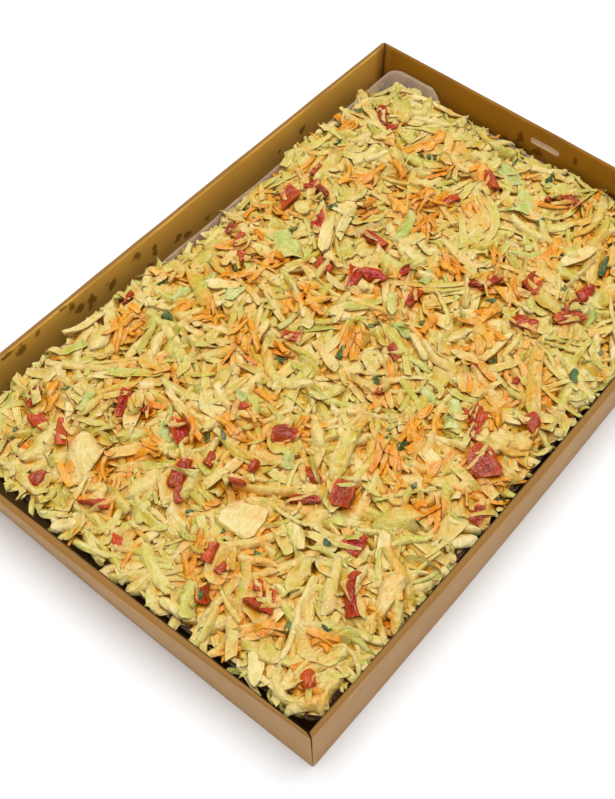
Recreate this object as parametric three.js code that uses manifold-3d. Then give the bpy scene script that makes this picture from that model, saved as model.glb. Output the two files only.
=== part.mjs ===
// A catering tray of coleslaw. The tray is folded from brown cardboard, with double walls whose
// tops are rolled over and a slot in the inner layer of one short wall. A thin clear liner stands
// in it with a little room all round, and the slaw is heaped in the liner.
//
// Millimetres, +Z up. +X runs along the tray's length and +Y across it. The origin is in the
// middle of the tray's underside, which is the surface that it stands on.

import * as THREE from "three";
import { mergeVertices } from "three/addons/utils/BufferGeometryUtils.js";
import Module from "manifold-3d";

// ---- Driving dimensions ----------------------------------------------------------------------

const TRAY_LENGTH = 450;
const TRAY_WIDTH = 300;
const TRAY_HEIGHT = 48;
const FLOOR_THICKNESS = 1.2;
const ROLL_HEIGHT = 2.2; // how far down the rounded top of a wall reaches

// The four walls, anticlockwise seen from above, starting at the corner (-X, -Y). `facing` is the
// way a wall faces out, and its start and end are its corners in that order. Its foot and its top
// stand further out at mid-span by footBow and topBow, and its top leans out at the corners by
// leanStart and leanEnd. The double board is tight at the corners and looser at mid-span.
const WALLS = [
  { facing: [0, -1], footBow: 2.9, topBow: 4.6, leanStart: -1.2, leanEnd: 1, tight: 4.0, loose: 5.8 },
  { facing: [1, 0], footBow: 1.0, topBow: 0.6, leanStart: 0, leanEnd: 0, tight: 2.4, loose: 2.6 },
  { facing: [0, 1], footBow: 1.5, topBow: 0.8, leanStart: 0, leanEnd: 1, tight: 3.6, loose: 4.0 },
  { facing: [-1, 0], footBow: 1.8, topBow: 4.5, leanStart: 8.5, leanEnd: 2.2, tight: 2.0, loose: 6.0 },
];
const LONG_WALL_STEPS = 20;
const SHORT_WALL_STEPS = 14;
const ROLL_STEPS = 6;

const SLOT_LENGTH = 25.5;
const SLOT_HEIGHT = 6;
const SLOT_CENTRE_Z = 33.8;
const SLOT_BACKING = 0.7; // the outer layer of board, which the slot stops at

// The liner's inside at its rim, as half sizes about its own centre, which is off the tray's.
const LINER_CENTRE = [2.25, -5];
const LINER_HALF_LENGTH = 217.6;
const LINER_HALF_WIDTH = 138.8;
const LINER_CORNER = 8.5;
const LINER_RIM_Z = 34;
const LINER_THICKNESS = 0.65;
const LINER_DRAFT = 4.5; // how much further in the liner's walls stand at its floor
const LINER_BULGE = 5.5; // how far the slaw presses the liner's -X wall out at mid-span
const LINER_ARC_STEPS = 6;
const LINER_LONG_STEPS = 18;
const LINER_SHORT_STEPS = 12;
const CUTDOWN_LENGTH = 196; // the lower stretch of the liner's +X wall
const CUTDOWN_DEPTH = 12;
const CUTDOWN_CORNER = 3;

const GAP = 0.3; // between pieces that touch

// The slaw's top: it meets the liner at its edge, rises over a shoulder to a crown, and lies lower
// where the liner's +X wall is cut down. Its surface is uneven in long and short waves.
const SLAW_EDGE_Z = 31;
const SLAW_LOW_EDGE_Z = 24;
const SLAW_CROWN_Z = 41.5;
const SLAW_SHOULDER = 46;
const SLAW_WAVES = [
  { height: 1.5, length: 118, heading: 24 },
  { height: 1.3, length: 83, heading: 101 },
  { height: 1.1, length: 61, heading: 157 },
  { height: 0.9, length: 43, heading: 58 },
  { height: 0.7, length: 34, heading: 121 },
];
const SLAW_LONG_CELLS = 48;
const SLAW_SHORT_CELLS = 31;

// ---- Shared geometry -------------------------------------------------------------------------

const mix = (a, b, t) => a + (b - a) * t;
const radians = (degrees) => (degrees * Math.PI) / 180;

// A closed body through rings of points that all go anticlockwise seen from above. The first ring
// is closed by a face that looks down, and the last by one that looks up.
function loftRings(rings) {
  const count = rings[0].length;
  const index = [];
  for (let r = 0; r + 1 < rings.length; r++) {
    for (let i = 0; i < count; i++) {
      const next = (i + 1) % count;
      const a = r * count + i;
      const b = r * count + next;
      index.push(a, b, b + count, a, b + count, a + count);
    }
  }
  const flat = (ring) => ring.map((p) => new THREE.Vector2(p.x, p.y));
  const top = (rings.length - 1) * count;
  for (const [a, b, c] of THREE.ShapeUtils.triangulateShape(flat(rings[0]), [])) {
    index.push(a, c, b);
  }
  for (const [a, b, c] of THREE.ShapeUtils.triangulateShape(flat(rings.at(-1)), [])) {
    index.push(top + a, top + b, top + c);
  }
  const geometry = new THREE.BufferGeometry();
  geometry.setFromPoints(rings.flat());
  geometry.setIndex(index);
  return geometry;
}

// ---- Cuts ------------------------------------------------------------------------------------

const wasm = await Module();
wasm.setup();

function toSolid(geometry) {
  const bare = geometry.clone();
  bare.deleteAttribute("normal");
  bare.deleteAttribute("uv");
  const merged = mergeVertices(bare, 1e-4);
  return new wasm.Manifold(
    new wasm.Mesh({
      numProp: 3,
      vertProperties: new Float32Array(merged.attributes.position.array),
      triVerts: new Uint32Array(merged.index.array),
    }),
  );
}

function cutAway(geometry, cutter) {
  const cut = toSolid(geometry).subtract(toSolid(cutter)).getMesh();
  const result = new THREE.BufferGeometry();
  result.setAttribute("position", new THREE.BufferAttribute(new Float32Array(cut.vertProperties), 3));
  result.setIndex(Array.from(cut.triVerts));
  return result;
}

// A plate with rounded corners, `across` wide along Y and `tall` along Z, centred on the origin and
// `deep` along X. It is what the slot and the liner's cut-down wall take away.
function roundedPlate(across, tall, deep, corner) {
  const shape = new THREE.Shape();
  const w = across / 2;
  const h = tall / 2;
  const turns = [
    [w - corner, -h + corner, -90],
    [w - corner, h - corner, 0],
    [-w + corner, h - corner, 90],
    [-w + corner, -h + corner, 180],
  ];
  shape.moveTo(-w + corner, -h);
  for (const [x, y, start] of turns) {
    shape.absarc(x, y, corner, radians(start), radians(start + 90), false);
  }
  const plate = new THREE.ExtrudeGeometry(shape, { depth: deep, bevelEnabled: false, curveSegments: 5 });
  plate.translate(0, 0, -deep / 2);
  // The drawing plane's right and up become +Y and +Z, and its depth becomes +X.
  plate.applyMatrix4(new THREE.Matrix4().set(0, 0, 1, 0, 1, 0, 0, 0, 0, 1, 0, 0, 0, 0, 0, 1));
  return plate;
}

// ---- Cardboard tray --------------------------------------------------------------------------

// How far the outer face of a wall stands from the tray's middle, at share u along it and height z.
function outerReach(wall, u, z) {
  const half = (wall.facing[0] === 0 ? TRAY_WIDTH : TRAY_LENGTH) / 2;
  const foot = wall.footBow * 4 * u * (1 - u);
  const top = mix(wall.leanStart, wall.leanEnd, u) + wall.topBow * Math.sin(Math.PI * u);
  return half + mix(foot, top, z / TRAY_HEIGHT);
}

// The same for a surface inside the wall: depth is 0 at its outer face and 1 at its inner face.
function reach(wall, u, z, depth) {
  const thickness = mix(wall.tight, wall.loose, Math.sin(Math.PI * u));
  return outerReach(wall, u, z) - depth * thickness;
}

// One ring round the tray at height z. Each wall runs between the faces of its two neighbours.
function trayRing(z, depth) {
  const points = [];
  WALLS.forEach((wall, k) => {
    const before = WALLS[(k + 3) % 4];
    const after = WALLS[(k + 1) % 4];
    const steps = wall.facing[0] === 0 ? LONG_WALL_STEPS : SHORT_WALL_STEPS;
    for (let i = 0; i < steps; i++) {
      const u = i / steps;
      const along = mix(-reach(before, 1, z, depth), reach(after, 0, z, depth), u);
      const out = reach(wall, u, z, depth);
      const [fx, fy] = wall.facing;
      points.push(new THREE.Vector3(fx * out - fy * along, fy * out + fx * along, z));
    }
  });
  return points;
}

function trayGeometry() {
  const rollFoot = TRAY_HEIGHT - ROLL_HEIGHT;
  const rings = [trayRing(0, 0), trayRing(rollFoot / 2, 0)];
  for (let i = 0; i <= ROLL_STEPS; i++) {
    const angle = (Math.PI * i) / ROLL_STEPS;
    rings.push(trayRing(rollFoot + ROLL_HEIGHT * Math.sin(angle), (1 - Math.cos(angle)) / 2));
  }
  rings.push(trayRing(rollFoot / 2, 1), trayRing(FLOOR_THICKNESS, 1));
  const slotDepth = 15;
  const slotBack = outerReach(WALLS[1], 0.5, SLOT_CENTRE_Z) - SLOT_BACKING;
  const slot = roundedPlate(SLOT_LENGTH, SLOT_HEIGHT, slotDepth, SLOT_HEIGHT / 2 - 0.01);
  slot.translate(slotBack - slotDepth / 2, 0, SLOT_CENTRE_Z);
  return cutAway(loftRings(rings), slot);
}

// ---- Clear liner -----------------------------------------------------------------------------

const LINER_FLOOR_Z = FLOOR_THICKNESS + GAP + LINER_THICKNESS;

// Half sizes of the liner's inside at height z: its walls lean in towards its floor.
function linerHalf(z) {
  const draft = LINER_DRAFT * (1 - (z - LINER_FLOOR_Z) / (LINER_RIM_Z - LINER_FLOOR_Z));
  return [LINER_HALF_LENGTH - draft, LINER_HALF_WIDTH - draft];
}

// Moves a point of the liner or the slaw out with the bulge of the -X wall, and to its place.
function placeInTray(x, y, z, halfLength, halfWidth) {
  const nearWall = Math.max(0, -x / halfLength) ** 6;
  const midSpan = Math.max(0, 1 - (y / halfWidth) ** 2);
  const height = Math.min(1, z / LINER_RIM_Z);
  const bulge = LINER_BULGE * nearWall * midSpan * height;
  return new THREE.Vector3(x - bulge + LINER_CENTRE[0], y + LINER_CENTRE[1], z);
}

// One ring round the liner, `out` further out than its inside.
function linerRing(z, out) {
  const [halfLength, halfWidth] = linerHalf(z).map((half) => half + out);
  const radius = LINER_CORNER + out;
  const corners = [
    [1, -1, -90],
    [1, 1, 0],
    [-1, 1, 90],
    [-1, -1, 180],
  ];
  const points = [];
  corners.forEach(([sx, sy, start], k) => {
    const cx = sx * (halfLength - radius);
    const cy = sy * (halfWidth - radius);
    for (let i = 0; i < LINER_ARC_STEPS; i++) {
      const angle = radians(start + (90 * i) / LINER_ARC_STEPS);
      points.push([cx + radius * Math.cos(angle), cy + radius * Math.sin(angle)]);
    }
    const steps = k % 2 === 0 ? LINER_SHORT_STEPS : LINER_LONG_STEPS;
    const end = radians(start + 90);
    const from = [cx + radius * Math.cos(end), cy + radius * Math.sin(end)];
    const [tx, ty] = corners[(k + 1) % 4];
    const to = [
      tx * (halfLength - radius) + radius * Math.cos(end),
      ty * (halfWidth - radius) + radius * Math.sin(end),
    ];
    for (let i = 0; i < steps; i++) {
      points.push([mix(from[0], to[0], i / steps), mix(from[1], to[1], i / steps)]);
    }
  });
  return points.map(([x, y]) => placeInTray(x, y, z, halfLength, halfWidth));
}

function linerGeometry() {
  const under = LINER_FLOOR_Z - LINER_THICKNESS;
  const middle = (LINER_FLOOR_Z + LINER_RIM_Z) / 2;
  const wall = LINER_THICKNESS;
  const rings = [
    linerRing(under, wall - 1),
    linerRing(under + 1, wall),
    linerRing(middle, wall),
    linerRing(LINER_RIM_Z, wall),
    linerRing(LINER_RIM_Z, 0),
    linerRing(middle, 0),
    linerRing(LINER_FLOOR_Z + 1, 0),
    linerRing(LINER_FLOOR_Z, -1),
  ];
  const cutdown = roundedPlate(CUTDOWN_LENGTH, 2 * CUTDOWN_DEPTH, 30, CUTDOWN_CORNER);
  cutdown.translate(LINER_CENTRE[0] + LINER_HALF_LENGTH, LINER_CENTRE[1], LINER_RIM_Z);
  return cutAway(loftRings(rings), cutdown);
}

// ---- Slaw ------------------------------------------------------------------------------------

// The height of the slaw's top at a point given from the liner's centre.
function slawTop(x, y) {
  const fromWall = Math.min(LINER_HALF_LENGTH - Math.abs(x), LINER_HALF_WIDTH - Math.abs(y));
  const rise = 1 - (1 - Math.min(Math.max(fromWall, 0) / SLAW_SHOULDER, 1)) ** 2;
  const nearCutdown = Math.max(0, x / LINER_HALF_LENGTH) ** 8;
  const alongCutdown = Math.max(0, 1 - (y / LINER_HALF_WIDTH) ** 4);
  const edge = mix(SLAW_EDGE_Z, SLAW_LOW_EDGE_Z, nearCutdown * alongCutdown);
  let waves = 0;
  SLAW_WAVES.forEach(({ height, length, heading }, k) => {
    const along = x * Math.cos(radians(heading)) + y * Math.sin(radians(heading));
    waves += height * Math.sin((2 * Math.PI * along) / length + 2 * k);
  });
  return mix(edge, SLAW_CROWN_Z, rise) + waves * mix(0.35, 1, rise);
}

// Bends a square grid's corners round, so that it fills the liner's rounded plan. a and b run from
// -1 to 1 across the grid.
function slawPlan(a, b, halfLength, halfWidth, corner) {
  let x = a * halfLength;
  let y = b * halfWidth;
  const intoX = Math.abs(x) - (halfLength - corner);
  const intoY = Math.abs(y) - (halfWidth - corner);
  if (intoX > 0 && intoY > 0) {
    const shrink = Math.max(intoX, intoY) / Math.hypot(intoX, intoY);
    x = Math.sign(x) * (halfLength - corner + intoX * shrink);
    y = Math.sign(y) * (halfWidth - corner + intoY * shrink);
  }
  return [x, y];
}

function slawGeometry() {
  const points = [];
  const index = [];
  const across = SLAW_LONG_CELLS + 1;
  const place = (i, j, z) => {
    const [length, width] = linerHalf(z);
    const a = (2 * i) / SLAW_LONG_CELLS - 1;
    const b = (2 * j) / SLAW_SHORT_CELLS - 1;
    const [x, y] = slawPlan(a, b, length - GAP, width - GAP, LINER_CORNER - GAP);
    return placeInTray(x, y, z, length - GAP, width - GAP);
  };
  for (let j = 0; j <= SLAW_SHORT_CELLS; j++) {
    for (let i = 0; i <= SLAW_LONG_CELLS; i++) {
      const rough = place(i, j, LINER_RIM_Z);
      points.push(place(i, j, slawTop(rough.x - LINER_CENTRE[0], rough.y - LINER_CENTRE[1])));
    }
  }
  for (let j = 0; j < SLAW_SHORT_CELLS; j++) {
    for (let i = 0; i < SLAW_LONG_CELLS; i++) {
      const a = j * across + i;
      index.push(a, a + 1, a + across + 1, a, a + across + 1, a + across);
    }
  }
  // The edge of the grid, anticlockwise, goes down to the liner's floor.
  const edge = [];
  for (let i = 0; i < SLAW_LONG_CELLS; i++) {
    edge.push([i, 0]);
  }
  for (let j = 0; j < SLAW_SHORT_CELLS; j++) {
    edge.push([SLAW_LONG_CELLS, j]);
  }
  for (let i = SLAW_LONG_CELLS; i > 0; i--) {
    edge.push([i, SLAW_SHORT_CELLS]);
  }
  for (let j = SLAW_SHORT_CELLS; j > 0; j--) {
    edge.push([0, j]);
  }
  const foot = points.length;
  const footZ = LINER_FLOOR_Z + GAP + 1;
  const footRing = edge.map(([i, j]) => place(i, j, footZ));
  points.push(...footRing);
  edge.forEach(([i, j], k) => {
    const next = (k + 1) % edge.length;
    const top = j * across + i;
    const nextTop = edge[next][1] * across + edge[next][0];
    index.push(foot + k, foot + next, nextTop, foot + k, nextTop, top);
  });
  const flat = footRing.map((p) => new THREE.Vector2(p.x, p.y));
  for (const [a, b, c] of THREE.ShapeUtils.triangulateShape(flat, [])) {
    index.push(foot + a, foot + c, foot + b);
  }
  const geometry = new THREE.BufferGeometry();
  geometry.setFromPoints(points);
  geometry.setIndex(index);
  return geometry;
}

// ---- The object ------------------------------------------------------------------------------

const cardboard = new THREE.MeshStandardMaterial({ color: 0xb08b5e, roughness: 0.85, metalness: 0 });
const clearPlastic = new THREE.MeshStandardMaterial({
  color: 0xdfe3e2,
  roughness: 0.15,
  metalness: 0,
  transparent: true,
  opacity: 0.3,
});
const dressedSlaw = new THREE.MeshStandardMaterial({ color: 0xe0cf86, roughness: 0.45, metalness: 0 });

function addPiece(group, name, geometry, material) {
  geometry.computeVertexNormals();
  const mesh = new THREE.Mesh(geometry, material);
  mesh.name = name;
  group.add(mesh);
}

const group = new THREE.Group();
addPiece(group, "cardboard_tray", trayGeometry(), cardboard);
addPiece(group, "clear_liner", linerGeometry(), clearPlastic);
addPiece(group, "slaw", slawGeometry(), dressedSlaw);

export default group;
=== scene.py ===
# A catering tray of coleslaw: a folded brown cardboard tray, a thin clear liner in it, and slaw of
# shredded cabbage, carrot and red pepper heaped in the liner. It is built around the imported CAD
# frame. Lengths below are in millimetres, and each mesh is turned into metres as it is made.
import math

import bpy
import numpy as np
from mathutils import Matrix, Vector
from mathutils.bvhtree import BVHTree


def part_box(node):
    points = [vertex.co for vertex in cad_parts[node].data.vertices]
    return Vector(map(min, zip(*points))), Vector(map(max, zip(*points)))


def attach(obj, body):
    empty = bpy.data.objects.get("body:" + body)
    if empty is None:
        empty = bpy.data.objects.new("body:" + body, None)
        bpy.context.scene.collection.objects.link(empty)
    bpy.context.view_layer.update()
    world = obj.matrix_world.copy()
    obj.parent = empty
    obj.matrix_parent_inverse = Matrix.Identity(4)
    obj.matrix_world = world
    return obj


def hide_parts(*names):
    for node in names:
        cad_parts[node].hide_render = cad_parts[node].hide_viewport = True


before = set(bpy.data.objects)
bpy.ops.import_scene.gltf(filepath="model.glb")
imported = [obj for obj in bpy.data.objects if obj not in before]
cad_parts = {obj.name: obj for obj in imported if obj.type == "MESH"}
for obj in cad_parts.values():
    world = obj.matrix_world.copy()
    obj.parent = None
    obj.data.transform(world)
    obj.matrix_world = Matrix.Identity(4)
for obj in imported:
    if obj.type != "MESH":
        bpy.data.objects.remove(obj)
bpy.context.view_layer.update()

# ---- Cardboard tray --------------------------------------------------------------------------
# One blank of brown paperboard, folded up into four double walls whose tops are rolled over. The
# walls meet in mitred corners with a web of board behind each seam, and a slot for a lid's tab is
# punched through the inner layer of one short wall. Its inside is stained by dressing, and painted
# shade and light lie on its inner faces too.

MM = 0.001
TRAY_LENGTH = 450
TRAY_WIDTH = 300
TRAY_HEIGHT = 48
FLOOR_THICKNESS = 1.2
ROLL_HEIGHT = 2.2
SLOT_LENGTH = 25.5
SLOT_HEIGHT = 6
SLOT_CENTRE_Z = 33.8
SLOT_BACKING = 1.1
SLOT_STEPS = 24
PUNCH_LENGTH = 15
SEAM_HALF_GAP = 0.42
EDGE_ROUNDING = 0.35
ROUNDING_LENGTH = 0.35
RIPPLE_FADE = 20
WEB_INSET = 0.42
WEB_THICKNESS = 0.5
WEB_FOOT_Z = 0.3
WEB_BELOW_TOP = 2.5
WALL_LEVELS = 9
ROLL_STEPS = 10
END_STATIONS = (0, 0.12, 0.3, 0.6, 1.2, 3.0)
FIRST_STATION = 6
STATION_STEP = 5
FLOOR_LIFT = 0.05
FLOOR_STEPS = 24
SHARP_FOLD = 50

# Anticlockwise from the corner (-X, -Y), as the CAD model has them.
WALLS = [
    dict(facing=(0, -1), foot_bow=2.9, top_bow=4.6, lean_start=-1.2, lean_end=1, tight=4.0, loose=5.8),
    dict(facing=(1, 0), foot_bow=1.0, top_bow=0.6, lean_start=0, lean_end=0, tight=2.4, loose=2.6),
    dict(facing=(0, 1), foot_bow=1.5, top_bow=0.8, lean_start=0, lean_end=1, tight=3.6, loose=4.0),
    dict(facing=(-1, 0), foot_bow=1.8, top_bow=4.5, lean_start=8.5, lean_end=2.2, tight=2.0, loose=6.0),
]


def mix(a, b, share):
    return a + (b - a) * share


def smooth(low, high, value):
    share = np.clip((value - low) / (high - low), 0, 1)
    return share * share * (3 - 2 * share)


def half_span(wall):
    return (TRAY_WIDTH if wall["facing"][0] == 0 else TRAY_LENGTH) / 2


def wall_reach(wall, u, z, depth):
    """How far a wall stands from the tray's middle at share u along it: depth is 0 at its outer
    face and 1 at its inner face."""
    bow = np.sin(np.pi * u)
    foot = wall["foot_bow"] * 4 * u * (1 - u)
    top = mix(wall["lean_start"], wall["lean_end"], u) + wall["top_bow"] * bow
    thickness = mix(wall["tight"], wall["loose"], bow)
    return half_span(wall) + mix(foot, top, z / TRAY_HEIGHT) - depth * thickness


def wall_ends(number, z, depth):
    """Where a wall starts and ends along itself, at a depth in the walls before and after it."""
    start = -wall_reach(WALLS[number - 1], 1.0, z, depth)
    return start, wall_reach(WALLS[(number + 1) % 4], 0.0, z, depth)


def on_plan(wall, out, along):
    """The x and y of a point that far out from the tray's middle and that far along a wall."""
    fx, fy = wall["facing"]
    return fx * out - fy * along, fy * out + fx * along


def wall_section():
    """(height, depth) pairs round a wall: up its outer face, over its roll and down its inner face."""
    roll_foot = TRAY_HEIGHT - ROLL_HEIGHT
    levels = [roll_foot * i / WALL_LEVELS for i in range(WALL_LEVELS)]
    turns = [math.pi * i / ROLL_STEPS for i in range(ROLL_STEPS + 1)]
    roll = [(roll_foot + ROLL_HEIGHT * math.sin(t), (1 - math.cos(t)) / 2) for t in turns]
    return [(z, 0.0) for z in levels] + roll + [(z, 1.0) for z in reversed(levels)]


def wall_stations(length):
    """Shares along a wall, closer together at its ends, where its edges round over into the seams."""
    ends = np.array(END_STATIONS) / length
    middle = np.linspace(FIRST_STATION / length, 1 - FIRST_STATION / length, int(length / STATION_STEP))
    return np.concatenate([ends, middle, (1 - ends)[::-1]])


def tube(rows, columns):
    """The faces of a tube that is made of rings of points, with a cap at each end."""
    i, j = np.meshgrid(np.arange(rows - 1), np.arange(columns), indexing="ij")
    k = (j + 1) % columns
    quads = np.stack([i * columns + j, i * columns + k, (i + 1) * columns + k, (i + 1) * columns + j], -1)
    last = (rows - 1) * columns
    caps = [list(range(columns))[::-1], list(range(last, last + columns))]
    return quads.reshape(-1, 4).tolist() + caps


def wall_mesh(number):
    wall = WALLS[number]
    length = 2 * half_span(WALLS[number - 1])
    section = wall_section()
    z, depth = np.array(section).T
    start, end = wall_ends(number, z, depth)
    seam = SEAM_HALF_GAP * (1 + z / TRAY_HEIGHT)
    stations = wall_stations(length)
    points = []
    for u in stations:
        along = mix(start + seam, end - seam, u)
        nearest = min(u, 1 - u) * length
        worn = EDGE_ROUNDING * math.exp(-nearest / ROUNDING_LENGTH)
        ripple = 0.16 * np.sin(along / 17 + 2 * number) + 0.1 * np.sin(along / 7.3 + z / 19)
        lift = np.sin(np.pi * np.clip(depth, 0, 1))
        out = wall_reach(wall, u, z, depth) - worn * (1 - 2 * depth)
        out = out + ripple * min(1, nearest / RIPPLE_FADE) * smooth(0, 14, z) * (1 - lift)
        points.append(np.stack([*on_plan(wall, out, along), z - worn * lift], -1))
    return np.concatenate(points), tube(len(stations), len(section))


def corner_web(number):
    """The strip of board that shows dark behind a mitred seam."""
    wall = WALLS[number]
    after = WALLS[(number + 1) % 4]
    across = np.array([*on_plan(wall, -1, 1), 0]) / math.sqrt(2) * WEB_THICKNESS / 2
    points = []
    for z in (WEB_FOOT_Z, TRAY_HEIGHT - WEB_BELOW_TOP):
        for depth in (WEB_INSET, 1 - WEB_INSET):
            plan = on_plan(wall, wall_reach(wall, 1.0, z, depth), wall_reach(after, 0.0, z, depth))
            middle = np.array([*plan, z])
            points += [middle - across, middle + across]
    quads = [[0, 1, 3, 2], [4, 6, 7, 5], [0, 4, 5, 1], [2, 3, 7, 6], [0, 2, 6, 4], [1, 5, 7, 3]]
    return np.array(points), quads


def floor_plate():
    ring = []
    for number, wall in enumerate(WALLS):
        start, end = wall_ends(number, 0, 0.5)
        for u in np.linspace(0, 1, FLOOR_STEPS, endpoint=False):
            ring.append(on_plan(wall, wall_reach(wall, u, 0, 0.5), mix(start, end, u)))
    sides = [np.column_stack([ring, np.full(len(ring), z)]) for z in (FLOOR_LIFT, FLOOR_THICKNESS)]
    return np.concatenate(sides), tube(2, len(ring))


def join_parts(parts):
    points = []
    faces = []
    start = 0
    for part_points, part_faces in parts:
        points.append(part_points)
        faces += [[start + i for i in face] for face in part_faces]
        start += len(part_points)
    return np.concatenate(points), faces


def new_object(name, points, faces, material=None, sharp_above=None):
    mesh = bpy.data.meshes.new(name)
    mesh.from_pydata((points * MM).tolist(), [], faces)
    mesh.polygons.foreach_set("use_smooth", np.ones(len(mesh.polygons), bool))
    if sharp_above:
        mesh.set_sharp_from_angle(angle=math.radians(sharp_above))
    if material:
        mesh.materials.append(material)
    made = bpy.data.objects.new(name, mesh)
    bpy.context.scene.collection.objects.link(made)
    return made


def finished(piece, cad_node):
    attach(piece, "root")
    if cad_node:
        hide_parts(cad_node)


def colour(red, green, blue):
    """A colour on the 0 to 255 screen scale, as the linear value that a shader takes."""
    screen = np.array([red, green, blue]) / 255
    linear = np.where(screen <= 0.04045, screen / 12.92, ((screen + 0.055) / 1.055) ** 2.4)
    return (*linear.tolist(), 1.0)


class Wire:
    """The output of a shader node. Sums and products of wires add the nodes that work them out, to
    the material whose tree is being wired."""

    tree = None

    def __init__(self, socket):
        self.socket = socket

    @classmethod
    def node(cls, kind, settings=None, inputs=None, output=0):
        made = cls.tree.nodes.new(kind)
        for name, value in (settings or {}).items():
            setattr(made, name, value)
        for name, value in (inputs or {}).items():
            if isinstance(value, Wire):
                cls.tree.links.new(value.socket, made.inputs[name])
            else:
                made.inputs[name].default_value = value
        return cls(made.outputs[output])

    def maths(self, operation, a, b=0.0):
        if self.socket.type == "VECTOR":
            if operation == "MULTIPLY" and not isinstance(b, (Wire, tuple)):
                return Wire.node("ShaderNodeVectorMath", {"operation": "SCALE"}, {0: a, "Scale": b})
            return Wire.node("ShaderNodeVectorMath", {"operation": operation}, {0: a, 1: b})
        return Wire.node("ShaderNodeMath", {"operation": operation}, {0: a, 1: b})

    def __add__(self, other):
        return self.maths("ADD", self, other)

    def __sub__(self, other):
        return self.maths("SUBTRACT", self, other)

    def __rsub__(self, other):
        return self.maths("SUBTRACT", other, self)

    def __mul__(self, other):
        return self.maths("MULTIPLY", self, other)

    __radd__ = __add__
    __rmul__ = __mul__

    def step(self, low, high, start=0.0, end=1.0):
        """A smooth step from start, where the wire is at low, to end, where it is at high."""
        ends = {"From Min": low, "From Max": high, "To Min": start, "To Max": end}
        settings = {"interpolation_type": "SMOOTHSTEP"}
        return Wire.node("ShaderNodeMapRange", settings, {"Value": self, **ends})

    def between(self, first, second):
        """The first colour where the wire is 0, and the second where it is 1."""
        settings = {"data_type": "RGBA"}
        return Wire.node("ShaderNodeMix", settings, {0: self, 6: first, 7: second}, 2)

    def tinted(self, tint):
        """The colour times another."""
        settings = {"data_type": "RGBA", "blend_type": "MULTIPLY"}
        return Wire.node("ShaderNodeMix", settings, {0: 1.0, 6: self, 7: tint}, 2)


def object_place():
    return Wire.node("ShaderNodeTexCoord", output="Object")


def on_mesh(attribute, output="Vector"):
    return Wire.node("ShaderNodeAttribute", {"attribute_name": attribute}, output=output)


def split(vector):
    """The three values of a vector, each as a wire of its own."""
    outputs = Wire.node("ShaderNodeSeparateXYZ", inputs={"Vector": vector}).socket.node.outputs
    return [Wire(outputs[axis]) for axis in "XYZ"]


def noise(place, scale, detail=3.0, roughness=0.55, distortion=0.0):
    inputs = {"Vector": place, "Scale": scale, "Detail": detail, "Roughness": roughness}
    inputs["Distortion"] = distortion
    return Wire.node("ShaderNodeTexNoise", inputs=inputs)


def start_material(name):
    material = bpy.data.materials.new(name)
    material.use_nodes = True
    Wire.tree = material.node_tree
    Wire.tree.nodes.clear()
    return material


def surface(sockets):
    """The material's Principled shader and its output, with the values and wires it takes."""
    shader = Wire.node("ShaderNodeBsdfPrincipled", inputs=sockets)
    output = Wire.tree.nodes.new("ShaderNodeOutputMaterial")
    Wire.tree.links.new(shader.socket, output.inputs["Surface"])


def bump(height, distance, strength=1.0):
    return Wire.node("ShaderNodeBump", inputs={"Height": height, "Distance": distance, "Strength": strength})


# Where dressing has soaked into the far long wall, as (x, z, half width, half height), and into the
# wall with the slot, as (y, z, half width, half height).
LONG_WALL_Y = 146
SLOT_WALL_X = 223
LONG_WALL_STAINS = [
    (-160, 45, 6, 2), (-150, 40, 5, 5), (-135, 43, 3, 3), (-114, 46, 4, 2), (-106, 41, 3, 6),
    (-100, 34, 5, 4), (-90, 31, 4, 8), (-76, 35, 2, 2), (-71, 31, 4, 6), (-72, 45, 2, 2),
    (-47, 39, 5, 4), (-31, 32, 3, 7), (-37, 18, 4, 4), (-9, 24, 4, 4), (1, 20, 4, 4), (21, 20, 3, 3),
    (99, 27, 2, 2), (124, 30, 4, 4), (-185, 38, 6, 4), (-205, 34, 7, 6),
]
SLOT_WALL_STAINS = [
    (-26, 37, 2, 4), (20, 31, 3, 6), (3, 26, 5, 4), (22, 18, 15, 7), (-62, 24, 7, 4), (-95, 26, 8, 4),
]
stains = [(x, LONG_WALL_Y, z, width, height) for x, z, width, height in LONG_WALL_STAINS]
stains += [(SLOT_WALL_X, y, z, width, height) for y, z, width, height in SLOT_WALL_STAINS]

board = start_material("brown_board")
place = object_place()
depth = on_mesh("depth", "Fac")
fibre_place = Wire.node("ShaderNodeMapping", inputs={"Vector": place, "Scale": (1, 1, 6)})
fibres = noise(fibre_place, 900, 4)
mottle = noise(place, 60, 4)
clouds = noise(place, 11, 3)
flecks = noise(place, 2200, 2)
ragged_line = noise(place, 26, 3)
ragged = noise(place, 170, 4)
along_tray, across_tray, above_table = split(place)

outer = (mottle * 0.6 + fibres * 0.4).between(colour(174, 133, 86), colour(204, 161, 110))
inner = (mottle * 0.5 + clouds * 0.5).between(colour(180, 130, 34), colour(208, 158, 58))
# Painted light: the inner face of the far long wall is painted lighter, as the light falls on it.
long_wall_painted_light = across_tray.step(0.138, 0.142)
inner = (long_wall_painted_light * 0.8).between(inner, colour(238, 184, 82))
# Painted shade: the inner face of the wall with the slot is painted darker.
slot_wall = along_tray.step(0.21, 0.22)
inner = (slot_wall * 0.75).between(inner, colour(160, 104, 0))
# Painted shade: the inner faces darken low down, next to the slaw, most on the wall with the slot.
painted_low_shade = (above_table + (ragged_line - 0.5) * 0.012).step(0.031, 0.02)
inner = (painted_low_shade * (slot_wall * 0.1 + 0.1)).between(inner, colour(104, 62, 0))
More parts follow.
